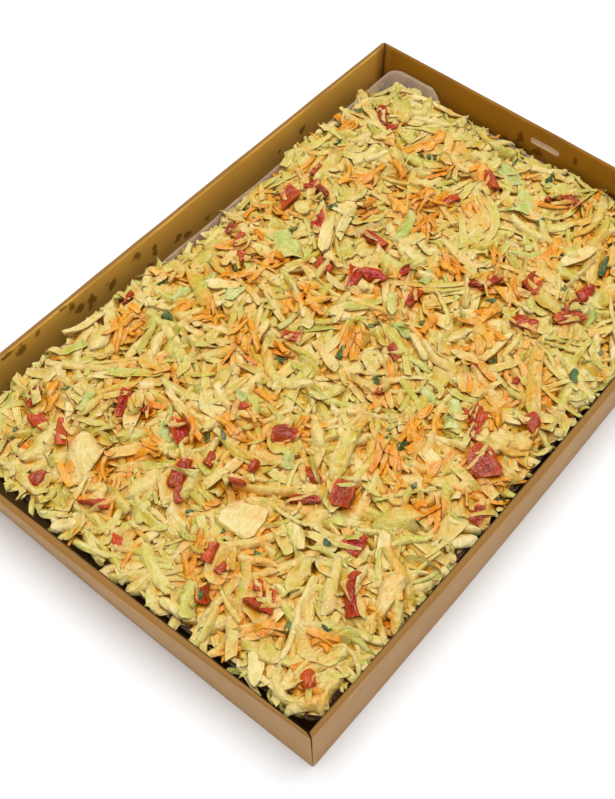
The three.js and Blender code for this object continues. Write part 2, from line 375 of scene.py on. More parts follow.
# Painted shade: the inner faces of the two near walls are painted near-black, the deep shade of the gap by
# the liner.
shaded_near_walls = (along_tray.step(-0.19, -0.2) + across_tray.step(-0.12, -0.13)).step(0.0, 1.0)
inner = shaded_near_walls.between(inner, colour(52, 30, 8))
rolled = fibres.between(colour(132, 92, 40), colour(152, 110, 56))
skin = depth.step(0.5, 0.97).between(outer, inner)
on_roll = depth.step(0.02, 0.25) * (1 - depth.step(0.75, 0.96))
skin = on_roll.between(skin, rolled)
# Painted light: the back of the slot's recess, marked -1 in depth, is painted pale, lighter than the shade
# in it.
skin = depth.step(-0.5, -0.9).between(skin, colour(246, 220, 196))

stained = (noise(place, 210, 2) * clouds.step(0.42, 0.7)).step(0.41, 0.5) * depth.step(0.9, 1.0) * 0.45
for x, y, z, half_width, half_height in stains:
    shrink = (1 / (half_width * MM), 1 / (half_width * MM), 1 / (half_height * MM))
    offset = (place - (x * MM, y * MM, z * MM)) * shrink
    away = Wire.node("ShaderNodeVectorMath", {"operation": "LENGTH"}, {0: offset}, "Value")
    spot = (away + (ragged - 0.5) * 3.0).step(1.15, 0.55)
    stained = stained.maths("MAXIMUM", stained, spot)
skin = (stained * 0.72 * depth.step(0.55, 0.95)).between(skin, colour(92, 56, 6))
skin = (flecks.step(0.66, 0.74) * 0.25).between(skin, colour(120, 86, 46))
surface(
    {
        "Base Color": skin,
        "Roughness": 0.78 - stained * 0.3 - mottle * 0.1,
        "Specular IOR Level": 0.2,
        "Normal": bump(fibres * 0.6 + mottle * 0.4, 0.00025),
    }
)

tray_parts = [wall_mesh(number) for number in range(4)]
tray_parts += [corner_web(number) for number in range(4)]
tray_parts.append(floor_plate())
tray = new_object("tray_board", *join_parts(tray_parts), board)

punch_ring = []
slot_round = SLOT_HEIGHT / 2
for turn in range(SLOT_STEPS):
    angle = 2 * math.pi * (turn + 0.5) / SLOT_STEPS
    side = math.copysign(SLOT_LENGTH / 2 - slot_round, math.cos(angle))
    punch_ring.append((side + slot_round * math.cos(angle), slot_round * math.sin(angle) + SLOT_CENTRE_Z))
slot_back = wall_reach(WALLS[1], 0.5, SLOT_CENTRE_Z, 0) - SLOT_BACKING
punch_points = [(x, y, z) for x in (slot_back - PUNCH_LENGTH, slot_back) for y, z in punch_ring]
cutter = new_object("slot_punch", np.array(punch_points), tube(2, SLOT_STEPS))
punch = tray.modifiers.new("slot", "BOOLEAN")
punch.object = cutter
punch.operation = "DIFFERENCE"
punched = bpy.data.meshes.new_from_object(tray.evaluated_get(bpy.context.evaluated_depsgraph_get()))
tray.modifiers.clear()
tray.data = punched
bpy.data.objects.remove(cutter)


def depth_in_wall(points):
    """How deep in its wall each point of the tray lies: 0 at the outer face, 1 at the inner one."""
    found = np.full(len(points), 1.0)
    x, y, z = points.T
    for number, wall in enumerate(WALLS):
        fx, fy = wall["facing"]
        out = fx * x + fy * y
        along = -fy * x + fx * y
        start, end = wall_ends(number, z, 0.0)
        u = np.clip((along - start) / (end - start), 0, 1)
        outer_face = wall_reach(wall, u, z, 0.0)
        share = (outer_face - out) / (outer_face - wall_reach(wall, u, z, 1.0))
        found = np.minimum(found, share)
    return np.clip(found, 0, 1)


tray_points = np.array([v.co for v in tray.data.vertices]) / MM
depths = depth_in_wall(tray_points)
# Points on the back of the slot's recess are marked -1, for the pale painted light on them.
from_slot = np.abs(tray_points - [slot_back, 0, SLOT_CENTRE_Z])
in_slot = (from_slot < [0.05, SLOT_LENGTH / 2 + 0.1, slot_round + 0.1]).all(1)
depths[in_slot] = -1.0
tray_depth = tray.data.attributes.new("depth", "FLOAT", "POINT")
tray_depth.data.foreach_set("value", depths.astype(np.float32))
tray.data.set_sharp_from_angle(angle=math.radians(SHARP_FOLD))
finished(tray, "cardboard_tray")

# ---- Clear liner -----------------------------------------------------------------------------
# A thin tray of clear plastic sheet, drawn down over a mould, with rounded corners and a plain cut
# rim. It stands loose in the cardboard, and one of its short walls is cut down between its corners.

LINER_CENTRE = (2.25, -5)
LINER_HALF = (217.6, 138.8)
LINER_CORNER = 8.5
LINER_RIM_Z = 34
LINER_SHEET = 0.45
LINER_FOOT_Z = 1.7
LINER_DRAFT = 4.5
LINER_BULGE = 5.5
CUTDOWN_LENGTH = 196
CUTDOWN_DEPTH = 12
CUTDOWN_RUN = 4
LINER_ARC_STEPS = 14
LINER_SIDE_STEPS = (58, 60)
LINER_LEVELS = 10
LOWEST_SHARE = 0.03
LIP_HEIGHT = 0.2


def liner_ring(share, out):
    """A ring round the liner at a share of its wall's height, out beyond the face that the slaw
    touches."""
    inset = LINER_DRAFT * (1 - share)
    half = [LINER_HALF[0] - inset + out, LINER_HALF[1] - inset + out]
    radius = LINER_CORNER + out
    ring = []
    for number, (sx, sy) in enumerate([(1, -1), (1, 1), (-1, 1), (-1, -1)]):
        turns = math.radians(90 * number - 90) + np.linspace(0, math.pi / 2, LINER_ARC_STEPS)
        cx = sx * (half[0] - radius)
        cy = sy * (half[1] - radius)
        ring += list(zip(cx + radius * np.cos(turns), cy + radius * np.sin(turns)))
        tx, ty = [(1, 1), (-1, 1), (-1, -1), (1, -1)][number]
        ax, ay = ring[-1]
        bx = tx * (half[0] - radius) + radius * math.cos(turns[-1])
        by = ty * (half[1] - radius) + radius * math.sin(turns[-1])
        steps = np.linspace(0, 1, LINER_SIDE_STEPS[number % 2])[1:-1]
        ring += list(zip(mix(ax, bx, steps), mix(ay, by, steps)))
    x, y = np.array(ring).T
    cut = smooth((CUTDOWN_LENGTH + CUTDOWN_RUN) / 2, (CUTDOWN_LENGTH - CUTDOWN_RUN) / 2, np.abs(y))
    rim = LINER_RIM_Z - CUTDOWN_DEPTH * cut * (x > half[0] - 1)
    near_wall = np.maximum(0, -x / half[0]) ** 6
    mid_span = np.maximum(0, 1 - (y / half[1]) ** 2)
    bulge = LINER_BULGE * near_wall * mid_span * share
    crease = 0.35 * np.sin(x / 9 + 1.3) * np.sin(y / 13) * share
    x = x - bulge + LINER_CENTRE[0] + crease
    return np.stack([x, y + LINER_CENTRE[1] + crease, mix(LINER_FOOT_Z + LINER_SHEET, rim, share)], -1)


def liner_mesh():
    shares = np.linspace(LOWEST_SHARE, 1, LINER_LEVELS)
    outside = [liner_ring(share, LINER_SHEET) for share in shares]
    inside = [liner_ring(share, 0) for share in shares[::-1]]
    foot = liner_ring(0, LINER_SHEET - 1)
    foot[:, 2] = LINER_FOOT_Z
    bed = liner_ring(0, -1)
    bed[:, 2] = LINER_FOOT_Z + LINER_SHEET
    lip = liner_ring(1, LINER_SHEET / 2)
    lip[:, 2] += LIP_HEIGHT
    rings = [foot] + outside + [lip] + inside + [bed]
    return np.concatenate(rings), tube(len(rings), len(foot))


clear = start_material("clear_sheet")
place = object_place()
film = noise(place, 70, 3)
drops = noise(place, 260, 2)
smear = (film * 0.6 + drops * 0.4).step(0.46, 0.62)
x, y, _ = split(place)
far_side = y.step(-0.12, -0.06) * x.step(-0.2, -0.15)
surface(
    {
        "Base Color": smear.between(colour(234, 212, 194), colour(232, 214, 184)),
        "Roughness": smear * 0.22 + 0.1,
        "IOR": 1.5,
        "Alpha": far_side * (smear * 0.18 + 0.36) + 0.06,
        "Normal": bump(drops, 0.0002),
    }
)
liner = new_object("liner_sheet", *liner_mesh(), clear, SHARP_FOLD)
finished(liner, "clear_liner")

# ---- Slaw: the heap's outline ------------------------------------------------------------------
# Slaw is tipped into the liner and stands a little proud of its rim, level in the middle and lower
# at its edges. Its top is taken from the CAD model's solid, as a grid of heights.

CELL = 1.0
GRID_MARGIN = 12
PROBE_STEP = 6.0
PROBE_INSET = 3
PROBE_HEIGHT = 0.1
START_DEPTH = 7.4
START_ROUGHNESS = 1.2
WALL_RISE = 5.0
FAR_CORNER = (220, 134)
FAR_CORNER_DROP = 8.0
rng = np.random.default_rng(4817)

slaw_low, slaw_high = (np.array(corner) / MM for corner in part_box("slaw"))
grid_low = slaw_low[:2] - GRID_MARGIN
grid_count = ((slaw_high[:2] - slaw_low[:2] + 2 * GRID_MARGIN) / CELL).astype(int) + 1


def grid_value(grid, x, y, low=grid_low, cell=CELL):
    """The value of a grid at points between its own, worked out from the four round each."""
    gx = np.clip((x - low[0]) / cell, 0, grid.shape[0] - 1.001)
    gy = np.clip((y - low[1]) / cell, 0, grid.shape[1] - 1.001)
    i = gx.astype(int)
    j = gy.astype(int)
    near = mix(grid[i, j], grid[i + 1, j], gx - i)
    far = mix(grid[i, j + 1], grid[i + 1, j + 1], gx - i)
    return mix(near, far, gy - j)


def blurred(grid, passes):
    for _ in range(passes):
        padded = np.pad(grid, 1, mode="edge")
        grid = (padded[:-2, 1:-1] + padded[2:, 1:-1] + padded[1:-1, :-2] + padded[1:-1, 2:] + grid) / 5
    return grid


def past_liner(x, y):
    """How far a point lies outside the liner's rim, and less than 0 inside it."""
    lx = x - LINER_CENTRE[0]
    ly = y - LINER_CENTRE[1]
    bulge = LINER_BULGE * np.maximum(0, -lx / LINER_HALF[0]) ** 6
    bulge = bulge * np.maximum(0, 1 - (ly / LINER_HALF[1]) ** 2)
    qx = np.abs(lx + bulge) - LINER_HALF[0] + LINER_CORNER
    qy = np.abs(ly) - LINER_HALF[1] + LINER_CORNER
    corner = np.hypot(np.maximum(qx, 0), np.maximum(qy, 0))
    return corner + np.minimum(np.maximum(qx, qy), 0) - LINER_CORNER


def waves(x, y, count, shortest, longest):
    """A sum of random waves, each between the two lengths, between about -1 and 1."""
    total = np.zeros_like(x, dtype=float)
    for _ in range(count):
        heading = rng.uniform(0, math.pi)
        length = rng.uniform(shortest, longest)
        along = x * math.cos(heading) + y * math.sin(heading)
        total += np.sin(2 * math.pi * along / length + rng.uniform(0, 2 * math.pi))
    return total / math.sqrt(count)


cad_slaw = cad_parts["slaw"].data
slaw_tree = BVHTree.FromPolygons(
    [v.co.copy() for v in cad_slaw.vertices],
    [list(p.vertices) for p in cad_slaw.polygons],
)
probe_x = np.arange(slaw_low[0] + 3 * PROBE_INSET, slaw_high[0] - PROBE_INSET, PROBE_STEP)
probe_y = np.arange(slaw_low[1] + PROBE_INSET, slaw_high[1] - PROBE_INSET, PROBE_STEP)
heights = np.zeros((len(probe_x), len(probe_y)))
for i, px in enumerate(probe_x):
    for j, py in enumerate(probe_y):
        hit = slaw_tree.ray_cast(Vector((px * MM, py * MM, PROBE_HEIGHT)), Vector((0, 0, -1)))[0]
        heights[i, j] = hit.z / MM if hit else LINER_RIM_Z - PROBE_INSET
grid_x = grid_low[0] + CELL * np.arange(grid_count[0])
grid_y = grid_low[1] + CELL * np.arange(grid_count[1])
all_x, all_y = np.meshgrid(grid_x, grid_y, indexing="ij")
target = grid_value(heights, all_x, all_y, (probe_x[0], probe_y[0]), PROBE_STEP)
beyond = past_liner(all_x, all_y)

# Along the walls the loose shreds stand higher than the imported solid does, apart from two
# stretches where they stay below the liner's rim, and they are lower in the far corner.
low_stretch = smooth(-45, -20, all_x) * smooth(90, 70, all_x) * (all_y > 0)
slot_end = smooth(150, 200, all_x)
banked = WALL_RISE * smooth(-30, -4, beyond) * (1 - np.maximum(low_stretch, slot_end))
far_corner = smooth(44, 22, np.hypot(all_x - FAR_CORNER[0], all_y - FAR_CORNER[1]))
target = target + banked - FAR_CORNER_DROP * far_corner
bumps = START_ROUGHNESS * waves(all_x, all_y, 9, 7, 16)
pile = np.where(beyond < -0.6, target - START_DEPTH + bumps, 0.0)
bed = pile.copy()
on_rim = (np.abs(beyond) < 1.2) & (slot_end < 0.5)
pile = np.where(on_rim, np.maximum(pile, LINER_RIM_Z), pile)

# ---- Slaw: the loose shreds --------------------------------------------------------------------
# Cabbage, carrot and pepper cut into shreds and tossed in dressing. They are laid one by one on the
# pile so far: each bends over what is under it, and its ends dive between its neighbours or stand a
# little proud. Every kind has its own sizes, cut and colours.

SMOOTHINGS = 3
RIM_CLEARANCE = 0.8
NEAR_OVERHANG = 4.2
END_OVERHANG = 5.8
FAR_OVERHANG = 5.0
CORNER_OVERHANG = 0.8
LOW_OVERHANG = -0.8
FAR_CORNER_OVERHANG = -7.0
EDGE_BAND = 13
STEEPEST_ROLL = 0.7
DEEPEST_DRAPE = 2.5
HIGHEST_DRAPE = 1.2
WIDEST_CURL = 4.5
UV_MARGIN = 0.06
SHARP_CUT = 75
# Painted shade: the second of the two tints below darkens and warms shreds where they lie sunk below the
# heap's level and on their undersides; the first tones the rest.
SUNK = (-0.4, 3.4)
UNDERSIDE = 0.4
LIT_TINT = (0.89, 0.9, 0.93, 1.0)
SHADE_TINT = (0.93, 0.52, 0.03, 1.0)
# Near carrot and pepper the cabbage takes a tint, partly their juice and partly painted light bounced from
# them.
DRESSING = colour(230, 208, 146)
CARROT_JUICE_AND_BOUNCE = colour(226, 160, 44)
PEPPER_JUICE_AND_BOUNCE = colour(214, 118, 62)
carrot_juice_and_bounce = np.zeros_like(pile)
pepper_juice_and_bounce = np.zeros_like(pile)

# A plain shred, which each kind changes to its own. Pairs are the least and most of a size, or
# the middle and spread of a turn or lift, and shares are of half a shred's length or width.
PLAIN_SHRED = dict(
    stations=9, across=4, thickness=(0.7, 1.2), hue=(0.4, 0.35), bend=0.35, curly=0.22,
    knots=4, outline=(0.84, 1.12), ragged=0.035, taper=0.14, cut=0.6, tips=(0.0, 0.8), squareness=6,
    stiff=0.3, sag=0.045, ends=(-1.0, 1.9), roll=0.2, twist=0.25, wave=0.35, drape=0.65,
    cup=0.36, fold=0.25, ruffle=0.3, edge=0.35, end_thin=0.7, blunt=0.3,
)


class Shreds:
    """A kind of shred: its sizes, how it is cut and how it lies, and the rings of those laid."""

    def __init__(self, name, look, juice_and_bounce_map=None, **facts):
        self.name = name
        self.look = look
        self.juice_and_bounce_map = juice_and_bounce_map
        self.facts = {**PLAIN_SHRED, **facts}
        self.places = np.sin(np.linspace(-1, 1, self.facts["stations"]) * 1.3) / math.sin(1.3)
        self.points = []
        self.grain = []
        self.tone = []

    def centreline(self, x, y, heading, length):
        """Points along a shred seen from above, and the sine and cosine of its heading at each."""
        f = self.facts
        n = f["stations"]
        a = self.places
        bend = f["bend"] * (3.2 if rng.uniform() < f["curly"] else 1)
        turn = rng.normal(0, bend) * a * 0.5 + rng.normal(0, bend * 0.3) * np.sin(2.5 * a)
        sin, cos = np.sin(heading + turn), np.cos(heading + turn)
        step = np.diff(a) * length / 2
        cx = np.concatenate([[0], np.cumsum((cos[1:] + cos[:-1]) / 2 * step)])
        cy = np.concatenate([[0], np.cumsum((sin[1:] + sin[:-1]) / 2 * step)])
        return cx + x - cx[n // 2], cy + y - cy[n // 2], sin, cos

    def kept_in(self, cx, cy, half):
        """Shifts a shred in until it keeps inside the liner, or hangs only a little over its rim."""
        for _ in range(4):
            near_wall = cx < LINER_CENTRE[0] - LINER_HALF[0] + EDGE_BAND
            near_wall |= cy < LINER_CENTRE[1] - LINER_HALF[1] + EDGE_BAND
            slot_wall = cx > LINER_CENTRE[0] + LINER_HALF[0] - EDGE_BAND
            low = (cx > -35) & (cx < 80) & (cy > 0)
            allowed = np.where(near_wall, NEAR_OVERHANG, FAR_OVERHANG)
            allowed = np.where(cx < -205, END_OVERHANG, allowed)
            allowed = np.where(slot_wall | low, LOW_OVERHANG, allowed)
            allowed = np.where((cx > 198) & (cy > 112), FAR_CORNER_OVERHANG, allowed)
            allowed = np.where((cx < -190) & (cy < -138), CORNER_OVERHANG, allowed)
            excess = past_liner(cx, cy) + half * 0.6 - allowed
            worst = int(np.argmax(excess))
            if excess[worst] <= 0:
                break
            px, py = cx[worst], cy[worst]
            slope_x = float(past_liner(px + 0.5, py) - past_liner(px - 0.5, py))
            slope_y = float(past_liner(px, py + 0.5) - past_liner(px, py - 0.5))
            steep = math.hypot(slope_x, slope_y) + 1e-6
            cx = cx - (excess[worst] + 0.1) * slope_x / steep
            cy = cy - (excess[worst] + 0.1) * slope_y / steep
        return cx, cy

    def settled(self, cx, cy, sin, cos, s, half, thick):
        """The heights of a shred laid on the pile, and how far it rolls to lie along its slope."""
        f = self.facts
        a = 2 * s / (s[-1] - s[0])
        side = half * 0.8
        under = grid_value(pile, cx, cy)
        left = grid_value(pile, cx - sin * side, cy + cos * side)
        right = grid_value(pile, cx + sin * side, cy - cos * side)
        rest = mix((under + left + right) / 3, np.maximum(under, np.maximum(left, right)), f["stiff"])
        z = (rest[None, :] - f["sag"] * (s[:, None] - s[None, :]) ** 2).max(1)
        roll = np.clip(np.arctan2(left - right, 2 * side), -STEEPEST_ROLL, STEEPEST_ROLL)
        for _ in range(SMOOTHINGS):
            z[1:-1] = 0.5 * z[1:-1] + 0.25 * (z[:-2] + z[2:])
            roll[1:-1] = 0.5 * roll[1:-1] + 0.25 * (roll[:-2] + roll[2:])
        ends = rng.normal(f["ends"][0], f["ends"][1], 2)
        z = z + ends[0] * np.clip(-a, 0, 1) ** 2 + ends[1] * np.clip(a, 0, 1) ** 2 + thick * 0.3
        z = z + rng.normal(0, f["wave"]) * np.sin(s * rng.uniform(0.3, 0.6) + rng.uniform(0, 6))
        z = np.where(past_liner(cx, cy) > -0.4, np.maximum(z, LINER_RIM_Z + RIM_CLEARANCE), z)
        z = np.minimum(z, grid_value(target, cx, cy) + 2.0 + 14.0 * smooth(204, 188, cx))
        roll = 0.8 * roll + rng.normal(0, f["roll"]) + rng.normal(0, f["twist"]) * a
        return z, roll

    def outline(self, a, half):
        """How far a shred's two sides stand from its middle line, with ragged cut edges."""
        f = self.facts
        knots = np.linspace(-1, 1, f["knots"])
        tips = np.where(a < 0, *rng.uniform(*f["tips"], 2))
        narrow = (1 + rng.normal(0, f["taper"]) * a) * np.sqrt(1 - tips * np.abs(a) ** f["squareness"])
        spans = []
        for _ in range(2):
            side = np.interp(a, knots, rng.uniform(*f["outline"], f["knots"]))
            side[1:-1] = 0.5 * side[1:-1] + 0.25 * (side[:-2] + side[2:])
            spans.append(np.maximum((side + rng.normal(0, f["ragged"], len(a))) * narrow, f["blunt"]))
        return spans

    def lay(self, x, y, heading=None, length=None, width=None):
        """Lays a shred with its middle at x, y. What isn't given is drawn from the kind's sizes."""
        f = self.facts
        n, m = f["stations"], f["across"]
        length = rng.uniform(*f["length"]) if length is None else length
        half = (rng.uniform(*f["width"]) if width is None else width) / 2
        thick = rng.uniform(*f["thickness"])
        heading = rng.uniform(0, 2 * math.pi) if heading is None else heading
        a = self.places
        s = a * length / 2
        cx, cy, sin, cos = self.centreline(x, y, heading, length)
        cx, cy = self.kept_in(cx, cy, half)
        z, roll = self.settled(cx, cy, sin, cos, s, half, thick)

        tangent = np.stack([cos, sin, np.gradient(z, s)], -1)
        tangent /= np.linalg.norm(tangent, axis=1)[:, None]
        level = np.stack([-sin, cos, np.zeros(n)], -1)
        up = np.cross(tangent, level)
        turned, lifted = np.cos(roll)[:, None], np.sin(roll)[:, None]
        sideways = level * turned + up * lifted
        outward = up * turned - level * lifted

        # b runs across the shred, and its middle points shift so that no two have the same ridge.
        b = np.linspace(-1, 1, m)
        b[1:-1] += rng.uniform(-0.5, 0.5, m - 2) / (m - 1)
        b = b[None, :]
        spans = self.outline(a, half)
        offset = half * b * np.where(b < 0, spans[0][:, None], spans[1][:, None])
        cut = rng.normal(0, f["cut"], 2)
        shear = offset * (cut[0] * np.clip(-a, 0, 1) + cut[1] * np.clip(a, 0, 1))[:, None]
        fold_at = rng.uniform(-0.5, 0.5)
        reach = min(half, WIDEST_CURL)
        rise = rng.normal(-0.4 * f["cup"], f["cup"]) * reach * (b**2 - 0.4)
        rise = rise * (1 + rng.normal(0, 0.4) * a[:, None])
        rise = rise + rng.normal(0, f["fold"]) * reach * (np.abs(b - fold_at) - 0.5)
        ripple = np.sin(s[:, None] * rng.uniform(0.35, 0.9) + rng.uniform(0, 6) + 1.4 * b)
        rise = rise + f["ruffle"] * ripple * np.abs(b)
        thin = np.ones(n)
        thin[0] = thin[-1] = f["end_thin"]
        shell = thick / 2 * (f["edge"] + (1 - f["edge"]) * (1 - b**2)) * thin[:, None]
        middle = np.stack([cx, cy, z], -1)[:, None, :]
        sheet = middle + sideways[:, None, :] * offset[..., None] + tangent[:, None, :] * shear[..., None]

        # The sheet drapes over what is under it, all but where it hangs over the liner's rim.
        room = grid_value(pile, sheet[..., 0], sheet[..., 1]) + thick * 0.35 - sheet[..., 2]
        settle = f["drape"] * np.clip(room, -DEEPEST_DRAPE, HIGHEST_DRAPE) * (1 - 0.6 * a**4)[:, None]
        settle = settle * (past_liner(sheet[..., 0], sheet[..., 1]) < -2)
        sheet[..., 2] += settle
        z = z + settle.mean(1)
        above = sheet + outward[:, None, :] * (rise + shell)[..., None]
        below = sheet + outward[:, None, :] * (rise - shell)[..., None]
        self.points.append(np.concatenate([above, below[:, ::-1]], 1).reshape(-1, 3))

        seed = rng.uniform(0, 400)
        across = np.concatenate([offset, offset[:, ::-1] + 40], 1)
        along = s[:, None] + np.concatenate([shear, shear[:, ::-1]], 1)
        self.grain.append(np.stack([along + seed, across, np.full_like(across, seed)], -1).reshape(-1, 3))
        both = np.concatenate([b, b[:, ::-1]], 1)
        hue = rng.normal(*f["hue"]) + rng.normal(0, 0.18) * both + rng.normal(0, 0.25) * a[:, None]
        shade = np.clip(rng.normal(0.5, 0.35), 0, 1)
        rim = np.maximum(np.abs(both), np.abs(a)[:, None]) ** 4
        tone = np.stack([np.clip(hue, 0, 1), np.full_like(hue, shade), rim], -1)
        self.tone.append(tone.reshape(-1, 3))
        self.press(cx, cy, z + thick * 0.4, sin, cos, roll, half * (spans[0] + spans[1]) / 2, length)

    def press(self, cx, cy, top, sin, cos, roll, half, length):
        """Raises the pile to the top of the shred that has just been laid."""
        n = len(cx)
        fill = np.linspace(-1, 1, max(3, int(2.3 * half.max())))
        fine = np.linspace(0, n - 1, int(length / 0.7) + 2)
        x, y, z, w, si, co, lean = (
            np.interp(fine, np.arange(n), v)
            for v in (cx, cy, top, half, sin, cos, np.tan(np.clip(roll, -1, 1)))
        )
        wide = w[:, None] * fill[None, :]
        ix = np.rint((x[:, None] - si[:, None] * wide - grid_low[0]) / CELL).astype(int)
        iy = np.rint((y[:, None] + co[:, None] * wide - grid_low[1]) / CELL).astype(int)
        iz = z[:, None] + wide * lean[:, None]
        inside = (ix >= 0) & (iy >= 0) & (ix < pile.shape[0]) & (iy < pile.shape[1])
        np.maximum.at(pile, (ix[inside], iy[inside]), iz[inside])
        if self.juice_and_bounce_map is not None:
            self.juice_and_bounce_map[ix[inside], iy[inside]] = 1.0

    def build(self, level, carrot, pepper):
        """One mesh of all the shreds of the kind, each with its own rectangle in its UV map."""
        n, m = self.facts["stations"], self.facts["across"]
        ring = 2 * m
        last = (n - 1) * ring
        quads = tube(n, ring)[:-2]
        quads += [[j + 1, j, ring - 1 - j, ring - 2 - j] for j in range(m - 1)]
        quads += [[last + j, last + j + 1, last + ring - 2 - j, last + ring - 1 - j] for j in range(m - 1)]
        i, j = (v.ravel() for v in np.meshgrid(np.arange(n - 1), np.arange(ring), indexing="ij"))
        sides = np.stack([[j, i + 1], [j + 1, i + 1], [j + 1, i + 2], [j, i + 2]]).transpose(2, 0, 1)
        caps = [[(j + 1, 1), (j, 1), (j, 0), (j + 1, 0)] for j in range(m - 1)]
        caps += [[(j, n), (j + 1, n), (j + 1, n + 1), (j, n + 1)] for j in range(m - 1)]
        uv = np.concatenate([sides, np.array(caps)])[:, ::-1] / [ring, n + 1]
        number = np.arange(len(self.points))
        columns = math.ceil(math.sqrt(len(number)))
        rows = math.ceil(len(number) / columns)
        cell = np.stack([number % columns, number // columns], -1)[:, None, None, :]
        atlas = (cell + UV_MARGIN + uv[None] * (1 - 2 * UV_MARGIN)) / [columns, rows]
        faces = np.array(quads)[None, :, ::-1] + (number * n * ring)[:, None, None]
        points = np.concatenate(self.points)
        made = new_object(self.name, points, faces.reshape(-1, 4).tolist(), self.look, SHARP_CUT)
        layer = made.data.uv_layers.new(name="OFBake")
        layer.uv.foreach_set("vector", atlas.astype(np.float32).ravel())
        x, y, z = points.T
        under = np.tile(np.arange(ring) >= m, n * len(number))
        # Painted shade: how deep each point lies under the heap's level, more on a shred's underside, less
        # towards the far corner.
        sunk = np.clip(smooth(*SUNK, grid_value(level, x, y) - z) + UNDERSIDE * under, 0, 1)
        sunk = sunk * (1 - 0.35 * smooth(40, 260, x + y))
        shade_and_juice = np.stack([sunk, grid_value(carrot, x, y), grid_value(pepper, x, y)], -1)
        for name, values in (("grain", self.grain), ("tone", self.tone), ("shade_and_juice", [shade_and_juice])):
            attribute = made.data.attributes.new(name, "FLOAT_VECTOR", "POINT")
            attribute.data.foreach_set("vector", np.concatenate(values).astype(np.float32).ravel())
        return made


CABBAGE_RIM = (231, 212, 146)


def shred_look(
    name, colours, rim=CABBAGE_RIM, dressed=0.45, roughness=0.2, relief=0.45, juice_and_bounce=0.0, flecks_and_glints=None,
    gloss=0.27, rimmed=0.35, scatter=0.25,
):
    """A kind's finish. colours are dark and light at one end of its hue and at the other, and rim
    is what its cut edges turn to, partly their own paler colour and partly a painted glow of light
    through the thin edges."""
    material = start_material(name)
    place = object_place()
    grain = on_mesh("grain")
    hue, shade, edge = split(on_mesh("tone"))
    sunk, carrot, pepper = split(on_mesh("shade_and_juice"))
    along = Wire.node("ShaderNodeMapping", inputs={"Vector": grain, "Scale": (0.12, 0.6, 1)})
    vein = noise(along, 1.0, 2)
    patch = noise(grain, 0.17, 2)
    film = noise(place, 130, 3)
    crumple = noise(place, 260, 3)
    beads = noise(place, 700, 2)
    dark, light, far_dark, far_light = (colour(*c) for c in colours)
    dark = hue.between(dark, far_dark)
    light = hue.between(light, far_light)
    base = (shade * 0.55 + vein * 0.7 + patch * 1.1 - 0.62).between(dark, light)
    # The cut edges turn towards the rim colour: partly their own paler colour, partly a painted glow of
    # light through them.
    base = (edge * rimmed).between(base, colour(*rim))
    coated = film.step(0.46, 0.62) * dressed
    base = coated.between(base, DRESSING)
    # Pale flecks of dressing and painted glints of wet highlight, scattered over the colour.
    if flecks_and_glints:
        base = (beads.step(0.52, 0.62) * 0.4).between(base, colour(*flecks_and_glints))
    # Partly juice and partly painted light bounced from the carrot and pepper nearby.
    if juice_and_bounce:
        base = (carrot * patch.step(0.3, 0.6) * juice_and_bounce).between(base, CARROT_JUICE_AND_BOUNCE)
        base = (pepper * patch.step(0.35, 0.65) * juice_and_bounce * 0.7).between(base, PEPPER_JUICE_AND_BOUNCE)
    surface(
        {
            "Base Color": base.tinted(sunk.between(LIT_TINT, SHADE_TINT)),
            "Roughness": roughness - coated * 0.15 + vein * 0.12,
            "Specular IOR Level": gloss,
            "Subsurface Weight": scatter,
            "Subsurface Radius": (1.0, 0.75, 0.25),
            "Subsurface Scale": 0.0012,
            "Normal": bump(vein * relief + patch * 2.6 + crumple * 0.5 + beads * 0.15, 0.001),
        }
    )
    return material


